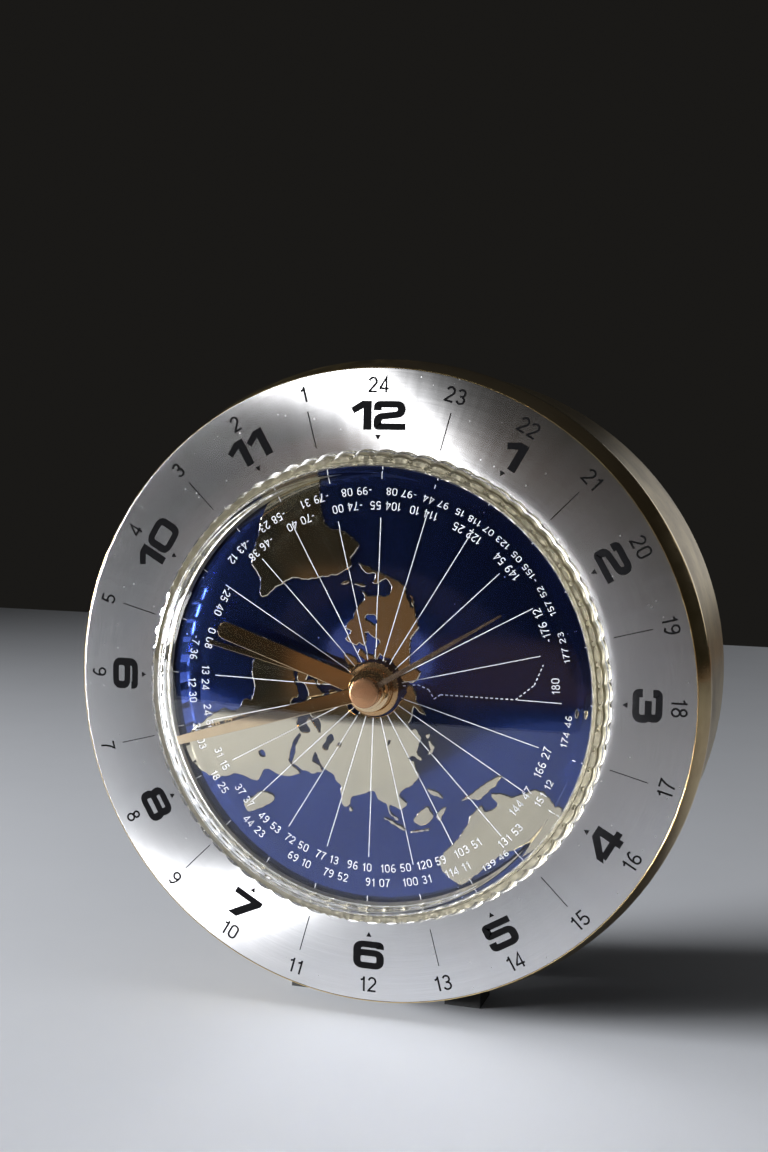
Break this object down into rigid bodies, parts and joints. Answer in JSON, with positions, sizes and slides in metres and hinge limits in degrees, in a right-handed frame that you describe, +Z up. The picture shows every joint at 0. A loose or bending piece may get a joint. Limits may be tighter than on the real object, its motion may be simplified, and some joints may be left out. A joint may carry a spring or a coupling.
{
  "type": "world time table clock",
  "caption": "Round brass table clock with an aluminium hour ring and a fluted crystal over a polar world map that turns once a day under the hands.",
  "frame": {"origin": "centre of the clock's footprint, on the surface that its rubber feet stand on", "axes": "+Z up, the dial faces -Y, +X to the right of someone who reads the dial"},
  "size_m": [0.12, 0.0506, 0.1213],
  "materials": {
    "polished_brass": "polished",
    "satin_brass": "satin",
    "brushed_aluminium": "radially brushed",
    "clear_acrylic": "clear, polished",
    "zinc_steel": "plain zinc",
    "blue_lacquer": "gloss lacquer",
    "champagne_gold": "satin",
    "gold_plate": "polished",
    "wheel_brass": "machined",
    "wheel_plastic": "moulded",
    "black_plastic": "fine grain",
    "grey_plastic": "moulded",
    "motor_iron": "stamped",
    "magnet": "sintered",
    "copper_wire": "enamelled winding",
    "board_green": "resist",
    "nickel": "nickel plated",
    "cell_sleeve": "printed sleeve",
    "black_rubber": "matt"
  },
  "bodies": {
    "case": {"front_bezel": "polished_brass", "case_drum": "satin_brass", "chapter_ring": "brushed_aluminium", "crystal": "clear_acrylic", "dial_pan": "zinc_steel", "case_pillars": "zinc_steel", "stator": "motor_iron", "coil_core": "motor_iron", "coil": "copper_wire", "movement_front_plate": "grey_plastic", "bush_nut": "nickel", "movement_mid_plate": "grey_plastic", "movement_housing": "grey_plastic", "coil_screws": "nickel", "circuit_board": "board_green", "quartz_can": "nickel", "clock_chip": "black_plastic", "switch_body": "grey_plastic", "battery_tray": "grey_plastic", "battery_cell": "cell_sleeve", "battery_contact_plus": "nickel", "battery_contact_minus": "nickel", "rear_cover": "black_plastic", "cover_screws": "nickel", "buzzer": "black_plastic", "rubber_feet": "black_rubber"},
    "second_train": {"second_hand": "gold_plate", "second_wheel": "wheel_plastic"},
    "rotor_shaft": {"rotor": "magnet"},
    "fifth_shaft": {"fifth_wheel": "wheel_plastic"},
    "third_shaft": {"third_wheel": "wheel_plastic"},
    "minute_train": {"minute_hand": "gold_plate", "cannon_pinion": "wheel_brass", "centre_wheel": "wheel_brass"},
    "motion_shaft": {"motion_wheel": "wheel_plastic"},
    "hour_train": {"hour_hand": "gold_plate", "hour_wheel": "wheel_brass"},
    "idler_shaft": {"day_idler": "wheel_plastic"},
    "world_map": {"map_disc": "blue_lacquer", "land_relief": "champagne_gold", "map_collar": "gold_plate", "day_wheel": "wheel_plastic"},
    "time_knob": {"time_set_knob": "black_plastic", "time_set_stem": "wheel_brass"},
    "alarm_train": {"alarm_hand": "gold_plate", "alarm_wheel": "wheel_brass"},
    "alarm_knob": {"alarm_set_knob": "black_plastic", "alarm_set_stem": "wheel_brass"},
    "alarm_slide": {"alarm_switch": "grey_plastic"},
    "door": {"battery_door": "black_plastic"}
  },
  "joints": [
    {"name": "second_spin", "type": "hinge", "parent": "case", "child": "second_train", "pos_m": [0, -0.0177, 0.0613], "axis": [0, 1, 0], "continuous": true},
    {"name": "rotor_spin", "type": "hinge", "parent": "case", "child": "rotor_shaft", "pos_m": [0, -0.0177, 0.0769], "axis": [0, 1, 0], "continuous": true},
    {"name": "fifth_spin", "type": "hinge", "parent": "case", "child": "fifth_shaft", "pos_m": [0, -0.0177, 0.0697], "axis": [0, 1, 0], "continuous": true},
    {"name": "third_spin", "type": "hinge", "parent": "case", "child": "third_shaft", "pos_m": [0.01064, -0.0177, 0.05942], "axis": [0, 1, 0], "continuous": true},
    {"name": "minute_spin", "type": "hinge", "parent": "case", "child": "minute_train", "pos_m": [0, -0.0177, 0.0613], "axis": [0, 1, 0], "continuous": true},
    {"name": "motion_spin", "type": "hinge", "parent": "case", "child": "motion_shaft", "pos_m": [-0.00409, -0.0177, 0.07258], "axis": [0, 1, 0], "continuous": true},
    {"name": "hour_spin", "type": "hinge", "parent": "case", "child": "hour_train", "pos_m": [0, -0.0177, 0.0613], "axis": [0, 1, 0], "continuous": true},
    {"name": "idler_spin", "type": "hinge", "parent": "case", "child": "idler_shaft", "pos_m": [-0.0142, -0.0177, 0.06612], "axis": [0, 1, 0], "continuous": true},
    {"name": "map_spin", "type": "hinge", "parent": "case", "child": "world_map", "pos_m": [0, -0.0177, 0.0613], "axis": [0, 1, 0], "continuous": true},
    {"name": "time_knob_spin", "type": "hinge", "parent": "case", "child": "time_knob", "pos_m": [-0.01608, -0.0177, 0.0732], "axis": [0, 1, 0], "continuous": true},
    {"name": "alarm_spin", "type": "hinge", "parent": "case", "child": "alarm_train", "pos_m": [0, -0.0177, 0.0613], "axis": [0, 1, 0], "continuous": true},
    {"name": "alarm_knob_spin", "type": "hinge", "parent": "case", "child": "alarm_knob", "pos_m": [0.01608, -0.0177, 0.0732], "axis": [0, 1, 0], "continuous": true},
    {"name": "alarm_slide_move", "type": "slide", "parent": "case", "child": "alarm_slide", "axis": [1, 0, 0], "range_m": [0, 0.004]},
    {"name": "door_hinge", "type": "hinge", "parent": "case", "child": "door", "pos_m": [0, 0.02105, 0.0187], "axis": [-1, 0, 0], "range_deg": [0, 85]}
  ],
  "couplings": [
    {"joint": "rotor_spin", "follows": "second_spin", "ratio": 30},
    {"joint": "fifth_spin", "follows": "second_spin", "ratio": -6},
    {"joint": "third_spin", "follows": "second_spin", "ratio": -0.13333},
    {"joint": "minute_spin", "follows": "second_spin", "ratio": 0.016667},
    {"joint": "motion_spin", "follows": "second_spin", "ratio": -0.0055556},
    {"joint": "hour_spin", "follows": "second_spin", "ratio": 0.0013889},
    {"joint": "idler_spin", "follows": "second_spin", "ratio": 0.0013889},
    {"joint": "map_spin", "follows": "second_spin", "ratio": -0.00069444},
    {"joint": "time_knob_spin", "follows": "second_spin", "ratio": 0.016667},
    {"joint": "alarm_knob_spin", "follows": "alarm_spin", "ratio": -2.0769}
  ]
}
